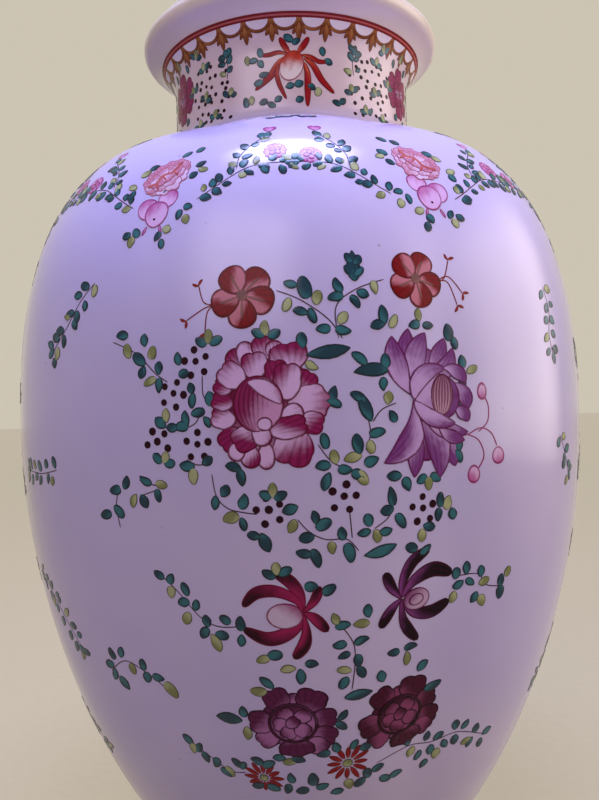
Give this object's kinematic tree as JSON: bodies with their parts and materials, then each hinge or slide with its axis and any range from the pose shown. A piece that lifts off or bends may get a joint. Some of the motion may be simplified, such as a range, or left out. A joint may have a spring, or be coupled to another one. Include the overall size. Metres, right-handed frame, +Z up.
{
  "type": "ginger jar",
  "caption": "Lobed baluster porcelain jar on a foot ring, with a short neck, a flared lip and a lift-off domed cover with a bud knob, painted with enamel flower sprays.",
  "frame": {"origin": "centre of the foot on the surface that the jar stands on", "axes": "+Z up along the jar's axis, -Y out of the painted front"},
  "size_m": [0.205, 0.205, 0.3497],
  "materials": {
    "glaze": "glossy clear glaze over white porcelain",
    "biscuit": "unglazed, matt",
    "gilding": "worn gilding, satin",
    "green_enamel": "raised glossy enamel",
    "rose_enamel": "raised glossy enamel",
    "red_enamel": "thin satin enamel"
  },
  "bodies": {
    "jar": {"foot_ring": "biscuit", "base_disc": "glaze", "lower_body": "glaze", "upper_body": "glaze", "neck": "glaze", "lip": "glaze"},
    "cover": {"cover_brim": "glaze", "cover_spigot": "biscuit", "cover_dome": "glaze", "cover_knob": "gilding"}
  },
  "joints": [
    {"name": "cover_lift", "type": "slide", "parent": "jar", "child": "cover", "axis": [0, 0, 1], "range_m": [0, 0.06]}
  ]
}
